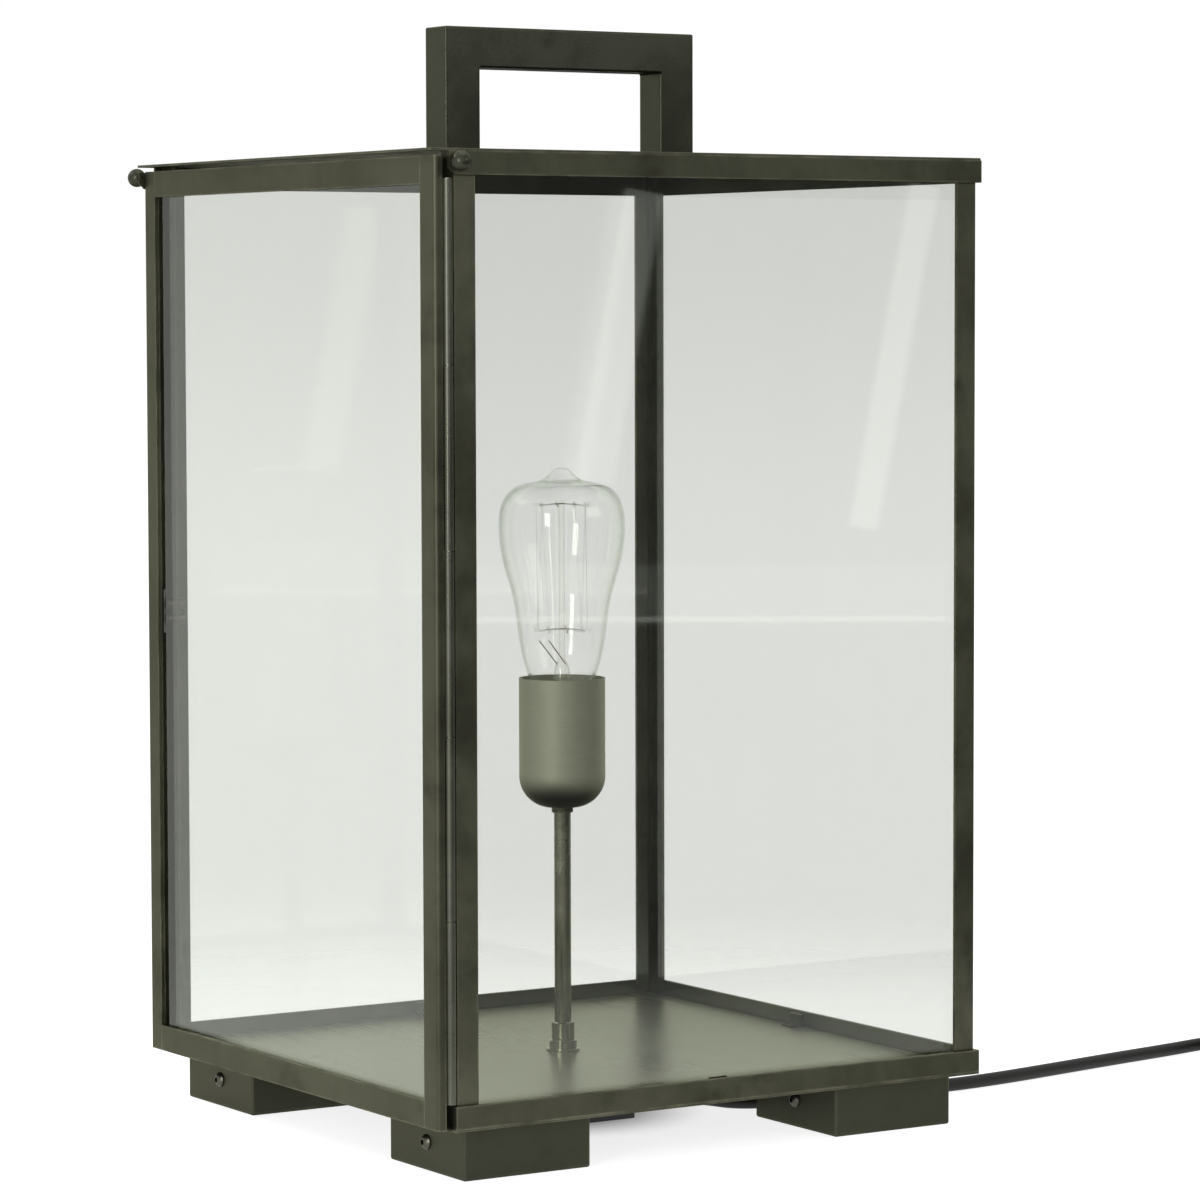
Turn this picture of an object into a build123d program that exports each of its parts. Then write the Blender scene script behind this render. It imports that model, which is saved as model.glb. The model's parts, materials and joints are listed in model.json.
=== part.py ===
"""Table lantern: glazed body, hinged door, lamp on a stem, supply cable. Millimetres, +Z up, door at -Y."""
import math
import os

from build123d import *

os.makedirs("parts", exist_ok=True)

# Clearances
run = 0.05
seat = 0.2
swing = 0.35

# Overall
width = 318.0
height = 547.3

# Roof
roof_depth = 315.3
roof_lip = 10.5
plate = 1.2
rail = 2.2
rail_height = 12.1
rail_chamfer = 3.0
ear_thick = 1.0
ear_setback = 0.85
ear_height = 8.4

# Body
foot_height = 25.45
rim_height = 12.05
rim_setback = 11.95
sill_setback = 8.75
post_leg = 11.5
post_thick = 1.5
pane = 3.0
floor_rise = 5.2
floor_thick = 1.5
clip_width = 10.0
clip_height = 6.5
clip_thick = 1.0

# Handle
handle_length = 146.5
handle_bar = 20.0
handle_height = 65.6
handle_round = 1.0
handle_screw_d = 5.0
handle_screw_head = 9.5

# Ball studs
ball_d = 9.4
ball_reach = 5.3
ball_drop = 6.2
ball_setback = 2.65
stud_setback = 3.0
stud_neck_d = 4.0
stud_rivet_d = 1.8

# Feet
foot_side = 70.0
foot_wall = 2.0
foot_inset = 8.8
foot_front_inset = 21.05
foot_rear_inset = 11.65
foot_round = 1.3
block_side = 50.0
block_height = 17.0
button_d = 7.6
button_height = 2.6
button_socket = 1.5
screw_d = 4.0
pan_head_d = 7.0
pan_head_height = 2.0

# Door
door_inset = 3.85
door_thick = 4.4
door_bottom_gap = 0.8
door_top_gap = 2.1
door_right_inset = 3.0
free_stile = 11.0
hinge_stile = 13.0
door_rail = 13.1
stile_round = 2.1
door_glass_thick = 2.0
rebate_depth = 2.2
rebate_width = 4.0
tab_length = 12.0
tab_width = 7.0
tab_thick = 0.8

# Hinge and catch
knuckle_d = 4.8
knuckle_count = 5
hinge_pin_d = 2.2
leaf_thick = 1.0
leaf_width = 12.0
knuckle_gap = 0.4
magnet_d = 5.5
magnet_length = 10.0
magnet_spacing = 7.8
catch_rise = 226.95
keeper_thick = 1.0
keeper_width = 6.0
keeper_height = 22.0

# Lamp
stem_d = 8.5
stem_bore = 5.8
stem_tail = 13.45
stem_short = 0.5
collar_d = 11.6
collar_height = 14.95
collar_foot_d = 14.0
collar_foot_height = 5.4
collar_washer_d = 17.0
collar_washer = 1.2
stem_nut_d = 14.0
stem_nut_height = 5.0
cup_d = 43.8
cup_rise = 124.65
cup_height = 65.9
cup_round = 16.0
cup_wall = 1.2
cup_nut_d = 11.0
cup_nut_height = 2.6
holder_d = 33.0
holder_rise = 9.7
holder_height = 46.0
holder_floor = 16.0
holder_web = 8.0
shell_height = 27.0
shell_wall = 0.6
contact_d = 12.0
contact_plate = 1.0
contact_pin_d = 5.0
contact_height = 5.1

# Bulb
cap_d = 26.4
cap_height = 26.9
cap_wall = 0.6
bulb_d = 64.0
bulb_height = 114.8
bulb_neck_d = 33.2
bulb_neck_rise = 8.2
bulb_waist_d = 49.6
bulb_waist_rise = 48.5
bulb_wide_rise = 86.0
bulb_crown_d = 41.0
bulb_crown_rise = 106.2
bulb_dome_rise = 109.0
bulb_wall = 0.8
nipple_d = 19.0
nipple_mid_d = 10.0
nipple_mid_drop = 2.2
mount_rod_d = 3.0
mount_height = 98.0
flare_height = 6.0
press_height = 14.0
press_taper = 4.0
press_d = 9.0
press_top_d = 7.0
hook_count = 6
hook_reach = 15.0
hook_rise = 33.0
hook_setback = 1.5
hook_wire = 0.9
hook_bed = 0.4
ring_wall = 0.9
ring_height = 2.0
filament_wire = 0.5

# Supply
box_left = 10.0
box_right = 54.0
box_front = 33.0
box_back = 8.5
box_bottom = 3.0
box_wall = 2.0
boss_d = 8.0
boss_bed = 1.0
gland_x = 44.0
gland_z = 9.6
gland_length = 20.0
gland_d = 12.0
wire_d = 2.2
cable_d = 7.0
coil_outer_r = 51.0
coil_turns = 2.25
coil_pitch = 7.6
layer_pitch = 7.6
tie_thick = 0.8
tie_width = 12.0
plug_width = 38.0
plug_length = 34.0
plug_lead = 30.0
plug_neck = 24.0
plug_pin_d = 4.8
plug_pin_length = 19.0
plug_pin_spacing = 19.0

# Levels
roof_width = width - 2 * ball_reach - ball_d
body_height = height - foot_height - handle_height
base_top = foot_height + plate
rim_top = foot_height + rim_height
floor_top = foot_height + floor_rise
roof_top = foot_height + body_height
roof_under = roof_top - plate
rail_bottom = roof_top - rail_height
door_bottom = foot_height + door_bottom_gap
door_top = roof_under - door_top_gap
ball_z = roof_top - ball_drop
ear_top = rail_bottom + ear_height
catch_height = door_bottom + catch_rise
stem_bottom = foot_height - stem_tail
collar_top = floor_top + collar_height
cup_bottom = floor_top + cup_rise
cup_rim = cup_bottom + cup_height
holder_bottom = cup_bottom + holder_rise
holder_top = holder_bottom + holder_height
shell_bottom = holder_bottom + holder_floor
stem_top = shell_bottom - holder_web - stem_short
cap_bottom = shell_bottom + contact_height
cap_top = cap_bottom + cap_height
bulb_neck_z = cap_top + bulb_neck_rise
bulb_waist_z = cap_top + bulb_waist_rise
bulb_wide_z = cap_top + bulb_wide_rise
bulb_crown_z = cap_top + bulb_crown_rise
bulb_dome_z = cap_top + bulb_dome_rise
bulb_tip = cap_top + bulb_height
mount_top = cap_top + mount_height
hook_low = cap_top + hook_rise
hook_high = mount_top - hook_setback

# Plan positions; the left ball stands a little ahead of the roof, so the roof sits back by half of that
ball_over = ball_d / 2 - ball_setback
half_width = roof_width / 2
roof_mid = ball_over / 2
roof_front = roof_mid - roof_depth / 2
rear = roof_mid + roof_depth / 2
body_front = roof_front + roof_lip
stem_y = (body_front + rear) / 2
door_front = roof_front + door_inset
door_back = door_front + door_thick
hinge_y = door_back + swing + knuckle_d / 2
post_front = hinge_y + swing + knuckle_d / 2
post_face = half_width - rail
pane_face = post_face - post_thick
pane_inner = pane_face - pane
pane_front = post_front + post_thick + seat
back_face = rear - rail
back_pane_face = back_face - post_thick - seat
back_pane_inner = back_pane_face - pane
door_left = -(half_width - ear_thick - swing)
door_right = half_width - door_right_inset
hinge_x = door_right
handle_front = stem_y - handle_length / 2 + 0.5
handle_rear = handle_front + handle_length
foot_x = half_width - foot_inset - foot_side / 2
foot_front_y = roof_front + foot_front_inset + foot_side / 2
foot_rear_y = rear - foot_rear_inset - foot_side / 2
foot_spots = [(x, y) for y in (foot_front_y, foot_rear_y) for x in (-foot_x, foot_x)]
lamp_plane = Plane((0, stem_y, 0), x_dir=(1, 0, 0), z_dir=(0, -1, 0))
lamp_axis = Axis((0, stem_y, 0), (0, 0, 1))


def save(piece, name):
    """Label a finished piece and write it."""
    piece.part.label = name
    export_step(piece.part, f"parts/{name}.step")


def block(x, y, z, mode=Mode.ADD):
    """Add or cut a box given by its low and high ends."""
    with Locations(((x[0] + x[1]) / 2, (y[0] + y[1]) / 2, (z[0] + z[1]) / 2)):
        Box(x[1] - x[0], y[1] - y[0], z[1] - z[0], mode=mode)


def rod(plane, radius, length, mode=Mode.ADD):
    """Add or cut a cylinder that starts at a plane."""
    with Locations(plane):
        Cylinder(radius, length, align=(Align.CENTER, Align.CENTER, Align.MIN), mode=mode)


def turned(points):
    """Turn a closed outline of radius and height about the stem."""
    with BuildSketch(lamp_plane) as outline:
        with BuildLine():
            Polyline(*points, close=True)
        make_face()
    revolve(outline.sketch, axis=lamp_axis)


def up(x, y, z):
    """Plane at a point that faces up."""
    return Plane((x, y, z))


def back(x, y, z):
    """Plane at a point that faces +Y."""
    return Plane((x, y, z), x_dir=(-1, 0, 0), z_dir=(0, 1, 0))


def outward(side, x, y, z):
    """Plane at a point that faces away from the lantern along X."""
    return Plane((x, y, z), x_dir=(0, side, 0), z_dir=(side, 0, 0))


# Roof plate
handle_screw_spots = [(0, handle_front + handle_bar / 2), (0, handle_rear - handle_bar / 2)]
with BuildPart() as roof_plate:
    with BuildSketch(Plane.XY.offset(roof_under)):
        with Locations((0, roof_mid)):
            RectangleRounded(roof_width, roof_depth, 1.2)
        with Locations(*handle_screw_spots):
            Circle(handle_screw_d / 2 + seat, mode=Mode.SUBTRACT)
    extrude(amount=plate)
    fillet(roof_plate.faces().sort_by(Axis.Z)[-1].outer_wire().edges(), 0.4)
save(roof_plate, "roof_plate")

# Roof rails
rail_zone = (rail_bottom, roof_under)
stud_y = body_front + stud_setback
left_ball_y = roof_front + ball_setback
with BuildPart() as roof_rail_right:
    block((post_face, half_width), (body_front, rear), rail_zone)
    chamfer(roof_rail_right.edges().filter_by(Axis.X).group_by(Axis.Y)[0].sort_by(Axis.Z)[0], rail_chamfer)
    rod(outward(1, post_face, stud_y, ball_z), stud_rivet_d / 2 + run, rail, Mode.SUBTRACT)
save(roof_rail_right, "roof_rail_right")

with BuildPart() as roof_rail_left:
    block((-half_width, -half_width + ear_thick), (roof_front + ear_setback, rear), (rail_bottom, ear_top))
    chamfer(roof_rail_left.edges().filter_by(Axis.X).group_by(Axis.Y)[0].sort_by(Axis.Z)[0], rail_chamfer)
    block((-half_width, -post_face), (body_front, rear), rail_zone)
    ear_plane = outward(-1, -half_width + ear_thick, left_ball_y, ball_z)
    rod(ear_plane, stud_rivet_d / 2 + run, ear_thick, Mode.SUBTRACT)
save(roof_rail_left, "roof_rail_left")

with BuildPart() as roof_rail_back:
    block((-post_face, post_face), (back_face, rear), rail_zone)
save(roof_rail_back, "roof_rail_back")

# Handle and its screws
screw_depth = 14.0
with BuildPart() as handle:
    with BuildSketch(Plane.YZ):
        with Locations(((handle_front + handle_rear) / 2, roof_top + handle_height / 2)):
            Rectangle(handle_length, handle_height)
        with Locations(((handle_front + handle_rear) / 2, roof_top + (handle_height - handle_bar) / 2)):
            Rectangle(handle_length - 2 * handle_bar, handle_height - handle_bar, mode=Mode.SUBTRACT)
    extrude(amount=handle_bar / 2, both=True)
    fillet(handle.edges().filter_by(lambda edge: edge.bounding_box().max.Z > roof_top + 1), handle_round)
    for x, y in handle_screw_spots:
        rod(up(x, y, roof_top), handle_screw_d / 2 + run, screw_depth, Mode.SUBTRACT)
save(handle, "handle")

with BuildPart() as handle_screws:
    for x, y in handle_screw_spots:
        rod(up(x, y, roof_under - 3), handle_screw_head / 2, 3)
        rod(up(x, y, roof_under - 3), handle_screw_d / 2, 3 + plate + screw_depth - 1)
        with BuildSketch(up(x, y, roof_under - 3)):
            RegularPolygon(2.4, 6)
        extrude(amount=1.8, mode=Mode.SUBTRACT)
save(handle_screws, "handle_screws")


def ball_stud(name, side, y, grip):
    """Ball with a short neck, riveted through a rail."""
    centre = half_width + ball_reach
    neck_r = stud_neck_d / 2
    reach = math.sqrt(ball_d**2 / 4 - neck_r**2)
    with BuildPart() as stud:
        with BuildSketch(Plane((0, y, ball_z), x_dir=(side, 0, 0), z_dir=(0, 0, 1))):
            with BuildLine():
                CenterArc((centre, 0), ball_d / 2, 0, 180 - math.degrees(math.asin(2 * neck_r / ball_d)))
                Polyline(
                    (centre - reach, neck_r),
                    (half_width, neck_r),
                    (half_width, stud_rivet_d / 2),
                    (half_width - grip, stud_rivet_d / 2),
                    (half_width - grip, 0),
                    (centre + ball_d / 2, 0),
                )
            make_face()
        revolve(axis=Axis((0, y, ball_z), (side, 0, 0)))
    save(stud, name)


ball_stud("ball_stud_right", 1, stud_y, rail)
ball_stud("ball_stud_left", -1, left_ball_y, ear_thick)

# Catch position on the front left post
magnet_x = -(pane_inner - magnet_d / 2 - 0.5)
magnet_z = (catch_height - magnet_spacing / 2, catch_height + magnet_spacing / 2)


def corner_post(name, side, end, lead=0, bores=()):
    """Angle post at a side and an end of the body; its side leg may lead ahead of its front leg."""
    face = post_front if end < 0 else back_face
    turn = -end
    with BuildPart() as post:
        block(
            sorted((side * (post_face - post_leg), side * post_face)),
            sorted((face, face + turn * post_thick)),
            (base_top, roof_under),
        )
        block(
            sorted((side * pane_face, side * post_face)),
            sorted((face - turn * lead, face + turn * post_leg)),
            (base_top, roof_under),
        )
        for x, z in bores:
            rod(back(x, face, z), magnet_d / 2 + run, post_thick, Mode.SUBTRACT)
    save(post, name)


# The front left post's side leg leads up to the door as its stop
stop_lead = post_front - door_back - swing
corner_post("post_front_right", 1, -1)
corner_post("post_front_left", -1, -1, stop_lead, [(magnet_x, z) for z in magnet_z])
corner_post("post_rear_right", 1, 1)
corner_post("post_rear_left", -1, 1)

# Glass panes and the clips at their feet
pane_zone = (base_top, roof_under - seat)
with BuildPart() as glass_right:
    block((pane_inner, pane_face), (pane_front, back_pane_inner - seat), pane_zone)
save(glass_right, "glass_right")

with BuildPart() as glass_left:
    block((-pane_face, -pane_inner), (pane_front, back_pane_inner - seat), pane_zone)
save(glass_left, "glass_left")

with BuildPart() as glass_back:
    block((-pane_face + seat, pane_face - seat), (back_pane_inner, back_pane_face), pane_zone)
save(glass_back, "glass_back")

clip_side = pane_inner - seat
clip_back = back_pane_inner - seat
clip_x = (-clip_width / 2, clip_width / 2)
clip_y = (stem_y - clip_width / 2, stem_y + clip_width / 2)
with BuildPart() as glass_clips:
    for depth, rise in ((clip_thick, clip_height), (clip_height, clip_thick)):
        for side in (-1, 1):
            wall_x = sorted((side * clip_side, side * (clip_side - depth)))
            block(wall_x, clip_y, (floor_top, floor_top + rise))
        block(clip_x, (clip_back - depth, clip_back), (floor_top, floor_top + rise))
save(glass_clips, "glass_clips")

# Base plate, with a corner cut away for the door's swing
sill = roof_front + sill_setback
boss_inset = box_wall + boss_d / 2 - boss_bed
box_screw_y = stem_y - box_front + boss_inset
box_screw_spots = [(boss_inset - box_left, box_screw_y), (box_right - boss_inset, box_screw_y)]
with BuildPart() as base_plate:
    block((-half_width, half_width), (sill, rear), (foot_height, base_top))
    block((hinge_x - 3, half_width), (sill, hinge_y + 0.5), (foot_height, base_top), Mode.SUBTRACT)
    rod(up(0, stem_y, foot_height), stem_d / 2 + seat, plate, Mode.SUBTRACT)
    for x, y in foot_spots + box_screw_spots:
        rod(up(x, y, foot_height), screw_d / 2 + seat, plate, Mode.SUBTRACT)
save(base_plate, "base_plate")

# Base rails
rim_zone = (base_top, rim_top)
for name, side in (("base_rail_right", 1), ("base_rail_left", -1)):
    with BuildPart() as base_rail:
        block(sorted((side * post_face, side * half_width)), (roof_front + rim_setback, rear), rim_zone)
    save(base_rail, name)

with BuildPart() as base_rail_back:
    block((-post_face, post_face), (back_face, rear), rim_zone)
save(base_rail_back, "base_rail_back")

# Floor plate, its edges turned down onto the base plate
floor_half = pane_inner - swing
floor_rear = back_pane_inner - swing
with BuildPart() as floor_plate:
    block((-floor_half, floor_half), (pane_front, floor_rear), (base_top, floor_top))
    block(
        (-floor_half + floor_thick, floor_half - floor_thick),
        (pane_front + floor_thick, floor_rear - floor_thick),
        (base_top, floor_top - floor_thick),
        Mode.SUBTRACT,
    )
    rod(up(0, stem_y, base_top), stem_d / 2 + seat, floor_rise, Mode.SUBTRACT)
save(floor_plate, "floor_plate")

# Feet: folded boxes, each held to an inner block by one button screw
foot_names = ("foot_front_left", "foot_front_right", "foot_rear_left", "foot_rear_right")
screw_z = foot_height / 2 + 1
for name, (x, y) in zip(foot_names, foot_spots):
    with BuildPart() as foot:
        with Locations((x, y, foot_height / 2)):
            Box(foot_side, foot_side, foot_height)
        fillet(foot.edges().filter_by(lambda edge: edge.bounding_box().min.Z < foot_height - 1), foot_round)
        with Locations((x, y, foot_height / 2 + foot_wall)):
            Box(foot_side - 2 * foot_wall, foot_side - 2 * foot_wall, foot_height, mode=Mode.SUBTRACT)
        rod(back(x, y - foot_side / 2, screw_z), screw_d / 2 + seat, foot_wall, Mode.SUBTRACT)
    save(foot, name)

block_front = foot_side / 2 - foot_wall
with BuildPart() as foot_blocks:
    for x, y in foot_spots:
        front = y - block_front
        block(
            (x - block_side / 2, x + block_side / 2),
            (front, front + block_side),
            (foot_height - block_height, foot_height),
        )
        rod(back(x, front, screw_z), screw_d / 2 + run, 14, Mode.SUBTRACT)
        rod(up(x, y, foot_height - 8), screw_d / 2 + run, 8, Mode.SUBTRACT)
save(foot_blocks, "foot_blocks")

with BuildPart() as foot_screws:
    for x, y in foot_spots:
        face = y - foot_side / 2
        with BuildSketch(Plane((x, face, screw_z), x_dir=(1, 0, 0), z_dir=(0, 0, 1))):
            with BuildLine():
                Line((0, 0), (button_d / 2, 0))
                Line((button_d / 2, 0), (button_d / 2, -0.5))
                RadiusArc((button_d / 2, -0.5), (0, -button_height), button_d * 0.62)
                Line((0, -button_height), (0, 0))
            make_face()
        revolve(axis=Axis((x, face, screw_z), (0, 1, 0)))
        with BuildSketch(back(x, face - button_height, screw_z)):
            RegularPolygon(button_socket, 6)
        extrude(amount=1.4, mode=Mode.SUBTRACT)
        rod(back(x, face, screw_z), screw_d / 2, 13)
save(foot_screws, "foot_screws")

with BuildPart() as base_screws:
    for x, y in foot_spots + box_screw_spots:
        rod(up(x, y, base_top), pan_head_d / 2, pan_head_height)
        rod(up(x, y, base_top - 8), screw_d / 2, 8)
save(base_screws, "base_screws")

# Door frame: two stiles, two rails, rebated at the back for the glass
glass_left_x = door_left + free_stile - rebate_width
glass_right_x = door_right - hinge_stile + rebate_width
glass_low = door_bottom + door_rail - rebate_width
glass_high = door_top - door_rail + rebate_width
glass_y = (door_back - rebate_depth, door_back)
rebate = ((glass_left_x, glass_right_x), glass_y, (glass_low, glass_high))
rail_ends = (door_left + free_stile, door_right - hinge_stile)
with BuildPart() as door_stile_free:
    block((door_left, rail_ends[0]), (door_front, door_back), (door_bottom, door_top))
    uprights = door_stile_free.edges().filter_by(Axis.Z)
    fillet(uprights.sort_by(lambda edge: edge.center().X + edge.center().Y)[0], 0.5)
    block(*rebate, Mode.SUBTRACT)
save(door_stile_free, "door_stile_free")

with BuildPart() as door_stile_hinge:
    block((rail_ends[1], door_right), (door_front, door_back), (door_bottom, door_top))
    uprights = door_stile_hinge.edges().filter_by(Axis.Z)
    fillet(uprights.sort_by(lambda edge: edge.center().X - edge.center().Y)[-1], stile_round)
    block(*rebate, Mode.SUBTRACT)
save(door_stile_hinge, "door_stile_hinge")

for name, low, high in (
    ("door_rail_top", door_top - door_rail, door_top),
    ("door_rail_bottom", door_bottom, door_bottom + door_rail),
):
    with BuildPart() as door_cross:
        block(rail_ends, (door_front, door_back), (low, high))
        block(*rebate, Mode.SUBTRACT)
    save(door_cross, name)

with BuildPart() as door_glass:
    block(
        (glass_left_x + seat, glass_right_x - seat),
        (glass_y[0], glass_y[0] + door_glass_thick),
        (glass_low + seat, glass_high - seat),
    )
save(door_glass, "door_glass")

# Tabs behind the rails that hold the door glass in
with BuildPart() as door_glass_tabs:
    for x in (-0.3 * roof_width, 0, 0.3 * roof_width):
        for low in (glass_low - tab_width * 0.7, glass_high - tab_width * 0.3):
            tab_x = (x - tab_length / 2, x + tab_length / 2)
            block(tab_x, (door_back, door_back + tab_thick), (low, low + tab_width))
save(door_glass_tabs, "door_glass_tabs")

# Hinge: the door carries the first, third and fifth knuckles
hinge_low = rim_top + 0.8
hinge_high = rail_bottom - 1.5
knuckle_step = (hinge_high - hinge_low) / knuckle_count
leaf_edge = hinge_x - knuckle_d / 2 + 0.4


def hinge_leaf(name, first, plate_y):
    """Leaf plate with its knuckles, bored for the pin."""
    with BuildPart() as leaf:
        block((hinge_x - leaf_width, leaf_edge - swing), plate_y, (hinge_low, hinge_high))
        for index in range(first, knuckle_count, 2):
            low = hinge_low + index * knuckle_step + knuckle_gap / 2
            high = low + knuckle_step - knuckle_gap
            block((leaf_edge - 1, hinge_x), plate_y, (low, high))
            rod(up(hinge_x, hinge_y, low), knuckle_d / 2, high - low)
        rod(up(hinge_x, hinge_y, hinge_low), hinge_pin_d / 2 + run, hinge_high - hinge_low, Mode.SUBTRACT)
        for index in range(1 - first, knuckle_count, 2):
            low = hinge_low + index * knuckle_step - knuckle_gap / 2
            rod(up(hinge_x, hinge_y, low), knuckle_d / 2 + swing, knuckle_step + knuckle_gap, Mode.SUBTRACT)
    save(leaf, name)


hinge_leaf("hinge_leaf_door", 0, (door_back, door_back + leaf_thick))
hinge_leaf("hinge_leaf_frame", 1, (post_front - leaf_thick, post_front))

with BuildPart() as hinge_pin:
    rod(up(hinge_x, hinge_y, hinge_low), hinge_pin_d / 2, hinge_high - hinge_low)
save(hinge_pin, "hinge_pin")

# Magnetic catch
keeper_left = swing - pane_face
keeper_y = (door_back, door_back + keeper_thick)
with BuildPart() as keeper_plate:
    block(
        (keeper_left, keeper_left + keeper_width),
        keeper_y,
        (catch_height - keeper_height / 2, catch_height + keeper_height / 2),
    )
save(keeper_plate, "keeper_plate")

magnet_front = keeper_y[1] + swing
with BuildPart() as catch_magnets:
    for z in magnet_z:
        rod(back(magnet_x, magnet_front, z), magnet_d / 2, magnet_length)
save(catch_magnets, "catch_magnets")

# Lamp stem, collar and nuts
with BuildPart() as stem:
    rod(up(0, stem_y, stem_bottom), stem_d / 2, stem_top - stem_bottom)
    rod(up(0, stem_y, stem_bottom), stem_bore / 2, stem_top - stem_bottom, Mode.SUBTRACT)
save(stem, "stem")

stem_fit = stem_d / 2 + run
with BuildPart() as stem_collar:
    turned([
        (stem_fit, floor_top),
        (collar_washer_d / 2, floor_top),
        (collar_washer_d / 2, floor_top + collar_washer),
        (collar_foot_d / 2, floor_top + collar_washer),
        (collar_foot_d / 2, floor_top + collar_foot_height),
        (collar_d / 2, floor_top + collar_foot_height),
        (collar_d / 2, collar_top),
        (stem_fit, collar_top),
    ])
    chamfer(stem_collar.edges().group_by(Axis.Z)[-1].sort_by(SortBy.RADIUS)[-1], 0.5)
save(stem_collar, "stem_collar")

with BuildPart() as stem_nut:
    with BuildSketch(up(0, stem_y, foot_height - stem_nut_height)):
        RegularPolygon(stem_nut_d / 2, 6)
        Circle(stem_fit, mode=Mode.SUBTRACT)
    extrude(amount=stem_nut_height)
save(stem_nut, "stem_nut")

with BuildPart() as cup_nut:
    turned([
        (stem_fit, cup_bottom - cup_nut_height),
        (cup_nut_d / 2, cup_bottom - cup_nut_height),
        (cup_nut_d / 2, cup_bottom),
        (stem_fit, cup_bottom),
    ])
save(cup_nut, "cup_nut")

# Lamp cup with a round shoulder at its bottom
cup_r = cup_d / 2
cup_in = cup_r - cup_wall
round_in = cup_round - cup_wall
with BuildPart() as lamp_cup:
    with BuildSketch(lamp_plane):
        with BuildLine():
            Line((stem_fit, cup_bottom), (cup_r - cup_round, cup_bottom))
            CenterArc((cup_r - cup_round, cup_bottom + cup_round), cup_round, -90, 90)
            Line((cup_r, cup_bottom + cup_round), (cup_r, cup_rim))
            Line((cup_r, cup_rim), (cup_in, cup_rim))
            Line((cup_in, cup_rim), (cup_in, cup_bottom + cup_round))
            CenterArc((cup_r - cup_round, cup_bottom + cup_round), round_in, -90, 90)
            Line((cup_r - cup_round, cup_bottom + cup_wall), (stem_fit, cup_bottom + cup_wall))
            Line((stem_fit, cup_bottom + cup_wall), (stem_fit, cup_bottom))
        make_face()
    revolve(axis=lamp_axis)
save(lamp_cup, "lamp_cup")

# Lampholder inside the cup
shell_out = cap_d / 2 + swing + shell_wall
wire_y = stem_bore / 4
with BuildPart() as holder_insert:
    turned([
        (0, holder_bottom),
        (holder_d / 2, holder_bottom),
        (holder_d / 2, holder_top),
        (shell_out + seat, holder_top),
        (shell_out + seat, shell_bottom),
        (0, shell_bottom),
    ])
    rod(up(0, stem_y, holder_bottom), stem_fit, shell_bottom - holder_web - holder_bottom, Mode.SUBTRACT)
    for side in (-1, 1):
        wire_plane = up(0, stem_y + side * wire_y, holder_bottom)
        rod(wire_plane, wire_d / 2 + run, holder_floor, Mode.SUBTRACT)
save(holder_insert, "holder_insert")

with BuildPart() as holder_shell:
    with BuildSketch(up(0, stem_y, shell_bottom)):
        Circle(shell_out)
        Circle(shell_out - shell_wall, mode=Mode.SUBTRACT)
    extrude(amount=shell_height)
save(holder_shell, "holder_shell")

with BuildPart() as holder_contact:
    turned([
        (0, shell_bottom),
        (contact_d / 2, shell_bottom),
        (contact_d / 2, shell_bottom + contact_plate),
        (contact_pin_d / 2, shell_bottom + contact_plate),
        (contact_pin_d / 2, cap_bottom - swing),
        (0, cap_bottom - swing),
    ])
save(holder_contact, "holder_contact")

# Bulb
with BuildPart() as bulb_cap:
    turned([
        (0, cap_bottom),
        (4.5, cap_bottom),
        (5, cap_bottom + 1.5),
        (cap_d / 2 - 2.5, cap_bottom + 4),
        (cap_d / 2, cap_bottom + 5.5),
        (cap_d / 2, cap_top),
        (cap_d / 2 - cap_wall, cap_top),
        (cap_d / 2 - cap_wall, cap_bottom + 6.5),
        (0, cap_bottom + 6.5),
    ])
save(bulb_cap, "bulb_cap")


def bulb_skin(inset, top):
    """Half outline of the glass, drawn in by an inset and closed by the points of its top."""
    neck = (cap_d / 2 - inset, cap_top)
    shoulder = (bulb_neck_d / 2 - inset, bulb_neck_z)
    waist = (bulb_waist_d / 2 - inset, bulb_waist_z)
    wide = (bulb_d / 2 - inset, bulb_wide_z)
    crown = (bulb_crown_d / 2 - inset * 0.7, bulb_crown_z - inset * 0.7)
    with BuildSketch(lamp_plane) as outline:
        with BuildLine():
            Spline(neck, shoulder, waist, wide, tangents=[(0.25, 1), (0, 1)])
            Spline(wide, crown, *top, tangents=[(0, 1), (-1, 0)])
            Line(top[-1], (0, cap_top))
            Line((0, cap_top), neck)
        make_face()
    return outline.sketch


nipple = [
    (nipple_d / 2, bulb_dome_z),
    (nipple_mid_d / 2, bulb_tip - nipple_mid_drop),
    (0, bulb_tip),
]
dome_in = bulb_dome_z - bulb_wall
with BuildPart() as bulb_glass:
    revolve(bulb_skin(0, nipple), axis=lamp_axis)
    revolve(bulb_skin(bulb_wall, [(nipple_d / 2, dome_in), (0, dome_in)]), axis=lamp_axis, mode=Mode.SUBTRACT)
save(bulb_glass, "bulb_glass")

mount_flare = cap_d / 2 - bulb_wall - cap_wall
rod_r = mount_rod_d / 2
with BuildPart() as bulb_mount:
    turned([
        (0, cap_top),
        (mount_flare, cap_top),
        (mount_flare, cap_top + 1),
        (press_d / 2, cap_top + flare_height),
        (press_top_d / 2, cap_top + press_height),
        (rod_r, cap_top + press_height + press_taper),
        (rod_r, mount_top),
        (0, mount_top),
    ])
save(bulb_mount, "bulb_mount")

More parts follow.
